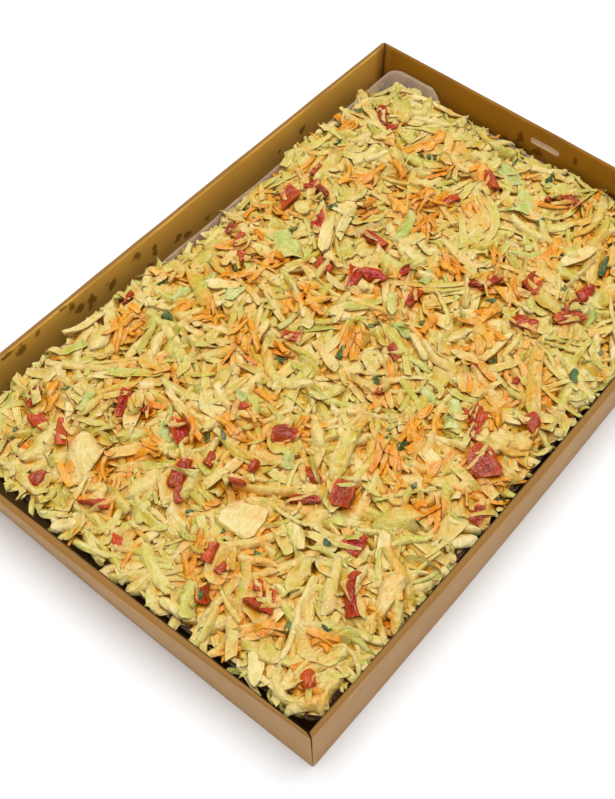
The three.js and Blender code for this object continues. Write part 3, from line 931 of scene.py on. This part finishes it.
kinds = [
    Shreds(
        "cabbage_ribbons",
        shred_look("cream_cabbage", [(211, 168, 36), (233, 212, 144), (187, 174, 32), (211, 204, 96)],
                   juice_and_bounce=0.7),
        length=(18, 48), width=(3.2, 8.4), thickness=(1.0, 1.7), hue=(0.35, 0.35), edge=0.25, ruffle=0.35,
    ),
    Shreds(
        "green_ribbons",
        shred_look("green_cabbage", [(201, 172, 36), (229, 210, 122), (157, 162, 26), (189, 196, 82)],
                   dressed=0.35, juice_and_bounce=0.5),
        length=(16, 40), width=(2.6, 5.8), thickness=(0.9, 1.5), hue=(0.5, 0.35), across=3, curly=0.3,
        twist=0.3, sag=0.05,
    ),
    Shreds(
        "leaf_flakes",
        shred_look("leaf_cabbage", [(211, 172, 44), (235, 214, 146), (181, 170, 34), (209, 204, 98)],
                   relief=0.5, juice_and_bounce=0.6),
        length=(13, 26), width=(8, 15), thickness=(0.9, 1.4), stations=10, across=6, knots=5,
        outline=(0.8, 1.15), ragged=0.05, taper=0.12, cut=0.3, tips=(0.85, 1.0), squareness=2.5,
        cup=0.5, fold=0.4, ruffle=1.3, sag=0.04, blunt=0.2, drape=0.7,
    ),
    Shreds(
        "stalk_pieces",
        shred_look("stalk_cabbage", [(219, 186, 72), (239, 222, 164), (207, 186, 68), (231, 212, 134)],
                   dressed=0.35, relief=0.4, juice_and_bounce=0.5),
        length=(14, 30), width=(5, 10), thickness=(1.8, 3.2), hue=(0.25, 0.25), across=5, sag=0.01,
        bend=0.2, edge=0.55, twist=0.1, wave=0.1, tips=(0.4, 0.95), squareness=4, drape=0.25,
    ),
    Shreds(
        "cabbage_crumbs",
        shred_look("crumb_cabbage", [(209, 164, 38), (231, 208, 134), (185, 172, 34), (211, 202, 98)],
                   juice_and_bounce=0.7),
        length=(4, 11), width=(2.2, 5.5), thickness=(0.6, 1.1), stations=5, across=3, knots=3, roll=0.3,
        ends=(0, 0.5), wave=0.0, squareness=3,
    ),
    Shreds(
        "carrot_shreds",
        shred_look("carrot", [(214, 114, 4), (236, 152, 30), (222, 144, 20), (240, 180, 64)],
                   rim=(236, 164, 46), dressed=0.3, relief=0.5),
        juice_and_bounce_map=carrot_juice_and_bounce,
        length=(8, 27), width=(2.0, 4.6), thickness=(0.8, 1.3), hue=(0.5, 0.35), sag=0.03, across=3,
        edge=0.6, twist=0.3, taper=0.2, cup=0.15, fold=0.0, ruffle=0.1, drape=0.4,
    ),
    Shreds(
        "pepper_pieces",
        shred_look("red_pepper", [(54, 0, 0), (176, 4, 0), (132, 12, 0), (218, 92, 30)],
                   rim=(212, 84, 12), dressed=0.06, roughness=0.1, relief=1.1, scatter=0.3,
                   flecks_and_glints=(218, 112, 76), gloss=0.35, rimmed=0.6),
        juice_and_bounce_map=pepper_juice_and_bounce,
        length=(9, 15), width=(7, 12), thickness=(2.4, 3.6), hue=(0.35, 0.35), stations=8, across=6,
        sag=0.006, bend=0.15, edge=0.8, cup=0.5, ends=(-0.6, 0.8), taper=0.15, cut=0.3, end_thin=0.9,
        roll=0.35, tips=(0, 0.5), blunt=0.6, wave=0.0, fold=0.3, ragged=0.06, drape=0.2,
    ),
    Shreds(
        "leaf_bits",
        shred_look("pale_green_leaf", [(184, 188, 84), (214, 214, 132), (148, 166, 72), (192, 202, 124)],
                   rim=(222, 220, 150), dressed=0.3, roughness=0.28, relief=0.6, scatter=0.6, juice_and_bounce=0.2),
        length=(9, 17), width=(7, 12), thickness=(0.5, 0.8), hue=(0.5, 0.3), across=6,
        outline=(0.7, 1.1), ragged=0.08, cup=0.2, fold=0.3, ruffle=0.6, ends=(0.1, 0.6),
        tips=(0.2, 0.9), squareness=3,
    ),
    Shreds(
        "herb_bits",
        shred_look("herb", [(30, 60, 30), (70, 104, 66), (60, 88, 30), (116, 134, 66)],
                   rim=(90, 114, 70), dressed=0.2, roughness=0.26, relief=0.6, scatter=0.1),
        length=(3, 8), width=(2.5, 5), thickness=(0.3, 0.45), hue=(0.45, 0.3), stations=7,
        outline=(0.5, 1.2), ragged=0.15, cup=0.4, fold=0.4, ends=(0.4, 0.5), wave=0,
        tips=(0.4, 0.9), squareness=2,
    ),
]
kinds = {kind.name: kind for kind in kinds}

# The pieces that show best, each as (x, y, heading in degrees, length, width), laid where given.
BROAD = [
    (-190, 90, 10, 25, 18), (-178, -122, -50, 32, 26), (-93, -105, -40, 28, 20), (-5, -125, -60, 26, 15),
    (-155, -82, 10, 26, 12), (-95, -60, 20, 20, 12), (-70, -51, 12, 50, 11), (45, -65, 60, 22, 16),
    (10, 10, -40, 26, 18), (130, -8, 10, 28, 14), (98, 103, 10, 28, 14), (185, 100, 40, 26, 18),
    (-45, 5, 80, 18, 12), (-122, -70, 0, 18, 16), (-180, -45, 20, 25, 14), (150, 90, 40, 24, 14),
]
STALKS = [(-147, -35, 10, 28, 24), (-178, 65, 50, 30, 24), (-112, 118, 20, 18, 14), (-135, -128, 10, 24, 12)]
RIBBONS = [
    (-126, -36, -53, 48, 7), (-206, -18, 68, 36, 9), (-165, -59, -55, 22, 6), (-178, -8, 70, 14, 10),
    (-95, -82, 12, 42, 6), (-82, -130, -8, 46, 12), (-100, -117, -45, 24, 5), (28, -80, 88, 42, 7),
    (14, -90, 75, 32, 7), (40, -110, 30, 52, 9), (-17, -123, -65, 26, 6), (8, -25, 70, 29, 7),
    (62, -20, -46, 64, 5), (60, -25, -46, 56, 3.5), (95, -15, 82, 34, 9), (112, -5, 40, 40, 5),
    (132, -18, 30, 50, 6), (-22, 72, 75, 32, 4), (-39, 98, 62, 36, 12), (-16, 115, 8, 30, 11),
    (-84, 38, 20, 22, 7), (-62, 12, 85, 44, 8), (-98, 40, 45, 40, 7), (-30, 0, 70, 28, 7),
    (-188, -103, 20, 36, 5), (-150, -101, 28, 36, 7), (-94, 130, 45, 30, 7), (-87, 131, 45, 28, 5),
    (-70, 132, 60, 18, 10), (-36, 129, 70, 14, 10), (22, 121, 88, 14, 4), (45, 124, 60, 14, 6),
    (55, 126, 40, 14, 5), (90, 131, 20, 16, 8), (132, 130, 80, 16, 6), (176, 52, 28, 48, 7),
    (165, 40, 30, 40, 6), (145, -52, 75, 26, 7), (-217, -122, -86, 30, 8), (-199, -138, 6, 26, 7),
    (-211, -133, -44, 22, 8), (-204, -136, -30, 14, 6), (-196, -130, -38, 34, 6),
]
GREENS = [
    (-180, -63, 30, 36, 6), (-120, -3, 85, 38, 6), (-46, -115, 80, 26, 6), (-8, 41, 38, 54, 6),
    (-75, 85, 35, 26, 8), (-85, 100, 25, 36, 7), (93, -84, 85, 22, 8), (3, 124, 5, 26, 6),
    (150, 100, 65, 18, 4), (15, 5, -40, 25, 8),
]
LEAVES = [
    (24, 78, 60, 25, 19), (-10, -65, 80, 12, 8), (-15, -88, 20, 21, 14), (-52, 105, 0, 15, 8),
    (-32, 78, 0, 13, 9), (160, -25, 20, 25, 17), (175, 0, 70, 20, 13), (27, -5, 30, 16, 13),
    (63, -10, 20, 14, 10), (17, -25, 75, 15, 8), (-88, 20, 60, 10, 8), (-106, -33, 30, 10, 8),
    (90, 27, 10, 30, 11), (-152, 90, 15, 18, 8), (108, -110, 35, 18, 8),
]
PEPPERS = [
    (-150, 12, 25, 22, 12), (-163, 4, 45, 13, 4), (-132, 6, 20, 10, 8), (-136, -18, -60, 14, 12),
    (-121, -19, 20, 7, 6), (-118, -57, -50, 20, 6), (-102, -47, 70, 13, 9), (-100, -70, 20, 20, 17),
    (-180, -38, 20, 13, 7), (-183, -49, 0, 8, 5), (-183, -79, -60, 17, 15), (-177, -71, 30, 8, 6),
    (-120, -95, 0, 16, 13), (-147, -112, 38, 30, 9), (-201, -126, 40, 10, 9), (-32, -118, 60, 24, 21),
    (-8, -100, 15, 20, 11), (-19, -104, 20, 9, 5), (-60, -137, 10, 14, 8), (-128, 33, 60, 15, 14),
    (-95, 14, -30, 10, 6), (-92, -20, -65, 18, 14), (-32, 25, -60, 14, 8), (15, -125, 60, 13, 11),
    (31, -102, 0, 6, 4), (69, -84, -70, 19, 11), (95, -102, -35, 21, 10), (105, -98, -20, 8, 5),
    (121, -98, 0, 17, 10), (104, -67, 10, 16, 13), (85, -47, -15, 20, 6), (24, 47, 80, 14, 12),
    (30, 23, 20, 16, 11), (38, 12, -65, 17, 10), (43, -15, 10, 19, 8), (-27, -41, 15, 8, 4),
    (0, -30, 60, 12, 6), (67, 37, 80, 22, 9), (57, 2, 0, 9, 5), (130, 17, -20, 13, 6),
    (76, -40, -60, 8, 5), (-205, 75, 0, 10, 9), (-180, 101, 80, 13, 10), (-168, 117, 10, 15, 9),
    (-175, 87, 42, 20, 7), (-137, 71, 30, 24, 8), (-197, 34, -60, 17, 8), (-134, 55, 0, 6, 5),
    (-76, 128, 20, 12, 6), (12, 117, 10, 9, 5), (7, 105, 15, 14, 5), (-4, 94, 30, 10, 7),
    (62, 106, 5, 18, 14), (80, 101, -10, 12, 8), (77, 91, 75, 14, 5), (91, 106, -5, 12, 4),
    (168, 107, 42, 22, 8), (162, 92, -50, 9, 5), (183, -47, 80, 14, 12), (175, -33, 10, 7, 4),
    (160, 6, 60, 17, 10), (-200, -50, 30, 12, 9), (190, -95, 20, 15, 11),
]
HERBS = [
    (-70, 97, 80, 9, 8), (-22, -5, 20, 11, 7), (8, -8, -20, 9, 5), (-25, -35, 15, 9, 5),
    (-52, -66, 30, 10, 4), (-55, -77, 0, 9, 5), (-117, 9, 60, 6, 4), (-202, -51, 0, 5, 3),
    (-195, 106, 30, 8, 4), (-152, 105, -60, 8, 4), (38, 84, 0, 8, 5), (151, -41, 0, 8, 5),
    (195, -22, 20, 13, 5), (192, 6, 15, 10, 4), (148, -95, 20, 14, 6), (87, -130, 0, 5, 4),
    (59, -127, 20, 9, 7), (-173, -115, 90, 6, 4), (-185, -98, 20, 8, 4), (-132, -83, 60, 6, 5),
    (-72, -99, 10, 5, 3), (70, 76, -20, 9, 5), (60, 117, 0, 4, 3),
]

# Clumps of carrot, each as (x, y, heading in degrees, spread, how many shreds).
CARROTS = [
    (-185, -31, 20, 8, 6), (-155, -14, -65, 3, 2), (-65, -76, 10, 9, 9), (-38, -78, 5, 10, 10),
    (-60, -101, 40, 6, 6), (-76, -119, 10, 8, 7), (-110, 12, 60, 6, 5), (-96, 4, -75, 3, 3),
    (-53, 45, 42, 7, 8), (-42, 24, 80, 3, 4), (-77, 10, 80, 4, 3), (-80, -25, 0, 5, 4),
    (-18, 42, 42, 8, 4), (-5, 33, 45, 6, 3), (3, 41, 10, 4, 3), (-12, -8, 28, 8, 7),
    (0, -110, 55, 6, 5), (50, -58, 70, 6, 5), (48, -72, 80, 5, 3), (20, -83, 60, 5, 3),
    (38, -70, 0, 4, 3), (30, -38, 25, 8, 5), (62, -58, 0, 6, 4), (87, -58, 52, 6, 6),
    (135, -62, 10, 8, 5), (115, -35, 60, 6, 5), (77, -17, 60, 8, 9), (100, 14, 25, 10, 9),
    (120, 27, -10, 9, 9), (113, 36, 0, 6, 4), (105, 45, 40, 6, 4), (-97, 112, 15, 10, 12),
    (-83, 117, 88, 4, 4), (-58, 98, -40, 6, 3), (-57, 78, -48, 6, 6), (-47, 83, 40, 5, 4),
    (-106, 72, -52, 4, 3), (-45, 59, 10, 8, 7), (-150, 37, 85, 5, 6), (-195, 62, 50, 6, 4),
    (-163, 106, 30, 5, 4), (-178, 46, 60, 4, 2), (-192, -90, -40, 7, 6), (-180, -120, -60, 5, 6),
    (-205, -133, -48, 5, 4), (45, 106, 60, 5, 4), (46, 96, 40, 5, 4), (18, 97, 60, 4, 3),
    (-12, 77, -20, 6, 5), (10, 79, 60, 6, 4), (0, 108, 0, 5, 3), (90, 117, 0, 6, 4),
    (113, 69, -15, 7, 6), (129, 64, 85, 5, 6), (88, 58, 0, 5, 4), (142, 118, 0, 4, 3),
    (145, 80, 70, 4, 3), (100, 82, 0, 6, 3), (163, 67, -5, 7, 7), (175, 61, 10, 4, 3),
    (165, 16, 20, 5, 4), (186, -12, -40, 5, 4), (150, 42, 0, 8, 4), (-125, 24, 70, 5, 4),
]

# How many of each kind lie in the lower layers, and how many in the upper ones.
LOWER = {
    "cabbage_ribbons": 560, "green_ribbons": 300, "leaf_flakes": 230, "stalk_pieces": 160,
    "cabbage_crumbs": 900, "carrot_shreds": 240, "pepper_pieces": 8, "herb_bits": 10,
}
UPPER = {
    "cabbage_ribbons": 660, "green_ribbons": 350, "leaf_flakes": 290, "stalk_pieces": 120,
    "cabbage_crumbs": 150, "carrot_shreds": 210, "pepper_pieces": 4, "leaf_bits": 12, "herb_bits": 90,
}
LAST_CRUMBS = 70
FEW_PLACES = 7
MANY_PLACES = 40
CLUMP_SHARE = 0.75
PEPPER_TRIM = (0.88, 0.86)
order = []
for layer in (LOWER, UPPER):
    names = [name for name, count in layer.items() for _ in range(count)]
    order += [names[i] for i in rng.permutation(len(names))]
open_cells = np.argwhere(beyond < -2.0)
carrot_patches = waves(all_x, all_y, 7, 45, 120)


def emptiest(tries, wanted=0.0):
    """Of a few places picked at random, the one where the pile has most room."""
    picks = open_cells[rng.integers(0, len(open_cells), tries)]
    room = (target + wanted - pile)[picks[:, 0], picks[:, 1]]
    best = picks[int(np.argmax(room))]
    return grid_x[best[0]], grid_y[best[1]]


for name in order:
    wanted = 2.5 * carrot_patches if name == "carrot_shreds" else 0.0
    kinds[name].lay(*emptiest(FEW_PLACES, wanted))

placed = [("cabbage_ribbons", *p) for p in RIBBONS] + [("green_ribbons", *p) for p in GREENS]
placed += [("stalk_pieces", *p) for p in STALKS] + [("leaf_bits", *p) for p in LEAVES]
for x, y, heading, spread, count in CARROTS:
    for _ in range(math.ceil(count * CLUMP_SHARE)):
        dx, dy = rng.normal(0, spread / 2, 2)
        turn = heading + rng.normal(0, 22)
        length = rng.uniform(9, 10 + 2 * spread)
        placed.append(("carrot_shreds", x + dx, y + dy, turn, length, rng.uniform(2.4, 5.0)))
placed = [placed[i] for i in rng.permutation(len(placed))]
placed = [("leaf_flakes", *p) for p in BROAD] + placed
for x, y, heading, length, width in PEPPERS:
    placed.append(("pepper_pieces", x, y, heading, PEPPER_TRIM[0] * length, PEPPER_TRIM[1] * width))
placed += [("herb_bits", *p) for p in HERBS]
for name, x, y, heading, length, width in placed:
    kinds[name].lay(x, y, math.radians(heading), length, width)

# Two small bits of cabbage lie on or beside each piece of pepper.
for x, y, *_ in PEPPERS + PEPPERS:
    dx, dy = rng.normal(0, 4.5, 2)
    name = "green_ribbons" if rng.uniform() < 0.4 else "cabbage_crumbs"
    kinds[name].lay(x + dx, y + dy, length=rng.uniform(7, 18))
for _ in range(LAST_CRUMBS):
    kinds["cabbage_crumbs"].lay(*emptiest(MANY_PLACES))

level = blurred(pile, 14)
carrot_near = np.clip(1.5 * blurred(carrot_juice_and_bounce, 6), 0, 1)
pepper_near = np.clip(1.5 * blurred(pepper_juice_and_bounce, 6), 0, 1)
for kind in kinds.values():
    piece = kind.build(level, carrot_near, pepper_near)
    finished(piece, "slaw")

# ---- Slaw: the core under the shreds -------------------------------------------------------------
# The inside of the heap, pressed together and running with dressing. Only its top shows, in the
# depths between the loose shreds, and its dark orange-brown is painted shade for those depths. It
# reaches just into the liner's sheet, with no air between.

CORE_ABOVE_BED = -0.6
CORE_BELOW_EDGE = 4.5
CORE_REACH = 0.2
CORE_SPINE = 0.36
SIDE_LEVELS = 12
TOP_RINGS = 110

deep_top = bed + CORE_ABOVE_BED
edge_top = blurred(np.where(beyond < -1.5, pile, target - 2), 3) - CORE_BELOW_EDGE
core_top = blurred(mix(deep_top, edge_top, smooth(-14, -3, beyond)), 1)


def core_mesh():
    """Rings that go up the core's sides to its rim, and then in over its top to its middle."""
    foot = liner_ring(0, -0.8)
    foot[:, 2] = LINER_FOOT_Z + CORE_REACH
    rings = [foot]
    for level in range(SIDE_LEVELS):
        share = level / (SIDE_LEVELS - 1)
        ring = liner_ring(share, CORE_REACH)
        rim = np.minimum(grid_value(core_top, ring[:, 0], ring[:, 1]), ring[:, 2].max() - 1)
        ring[:, 2] = mix(LINER_FOOT_Z + 1.8, rim, share)
        rings.append(ring)
    edge = rings[-1]
    for inward in range(1, TOP_RINGS + 1):
        share = inward / TOP_RINGS
        ring = edge.copy()
        spine_x = LINER_CENTRE[0] + CORE_SPINE * (ring[:, 0] - LINER_CENTRE[0])
        ring[:, 0] = mix(ring[:, 0], spine_x, share)
        ring[:, 1] = mix(ring[:, 1], LINER_CENTRE[1], share)
        ring[:, 2] = grid_value(core_top, ring[:, 0], ring[:, 1])
        rings.append(ring)
    return np.concatenate(rings), tube(len(rings), len(foot))


packed = start_material("packed_slaw")
place = object_place()
x, y, z = split(place)
bits = noise(place, 170, 4, distortion=1.5)
lumps = noise(place, 60, 3)
# Painted shade: the core is dark orange-brown for the shade of the depths, and near-black low down and at
# the near sides.
core_shade = bits.step(0.35, 0.65).between(colour(112, 56, 4), colour(196, 132, 34))
core_shade = lumps.step(0.5, 0.62).between(core_shade, colour(170, 98, 12))
unlit = z.step(0.031, 0.022) + x.step(-0.206, -0.213) + y.step(-0.134, -0.142)
core_shade = unlit.step(0.0, 1.0, 0.0, 0.85).between(core_shade, colour(40, 20, 4))
surface(
    {
        "Base Color": core_shade,
        "Roughness": 0.5 - bits * 0.2,
        "Normal": bump(bits, 0.003),
    }
)
core = new_object("slaw_core", *core_mesh(), packed)
finished(core, "slaw")

# ---- Studio ----------------------------------------------------------------------------------
# A plain white floor, soft light from a large panel overhead and a small one behind, and the
# camera. The floor lies just under the tray's underside.

FLOOR_HALF = 4000
FLOOR_Z = -0.3
white = start_material("white_floor")
faint = noise(object_place(), 3.0, 2)
surface({"Base Color": faint.between(colour(244, 247, 250), colour(248, 250, 252)), "Roughness": 0.9})
corners = np.array([(-1, -1, 0), (1, -1, 0), (1, 1, 0), (-1, 1, 0)]) * FLOOR_HALF
studio_floor = new_object("studio_floor", corners + [0, 0, FLOOR_Z], [[0, 1, 2, 3]], white)

world = bpy.data.worlds.new("studio")
bpy.context.scene.world = world
world.use_nodes = True
background = world.node_tree.nodes["Background"]
background.inputs["Color"].default_value = (1.0, 0.99, 0.97, 1.0)
background.inputs["Strength"].default_value = 0.26


def soft_panel(name, width, power, place):
    """A square panel of light in metres and watts, turned towards the tray."""
    panel = bpy.data.lights.new(name, "AREA")
    panel.size = width
    panel.energy = power
    made = bpy.data.objects.new(name, panel)
    made.location = place
    made.rotation_euler = (-Vector(place)).to_track_quat("-Z", "Y").to_euler()
    bpy.context.scene.collection.objects.link(made)


soft_panel("overhead_panel", 2.0, 47, (-0.08, -0.04, 1.9))
soft_panel("small_back_panel", 0.35, 4, (0.78, 0.46, 1.35))

CAMERA_PLACE = (-389.5, -259.5, 639.0)
CAMERA_TURN = (34.30, -1.49, -50.64)
CAMERA_LENS = 53.54
camera_data = bpy.data.cameras.new("camera")
camera_data.sensor_width = 36.0
camera_data.lens = CAMERA_LENS
camera_data.clip_start = 0.01
camera = bpy.data.objects.new("camera", camera_data)
camera.location = Vector(CAMERA_PLACE) * MM
camera.rotation_euler = [math.radians(turn) for turn in CAMERA_TURN]
bpy.context.scene.collection.objects.link(camera)
bpy.context.scene.camera = camera
bpy.context.scene.view_settings.view_transform = "Standard"
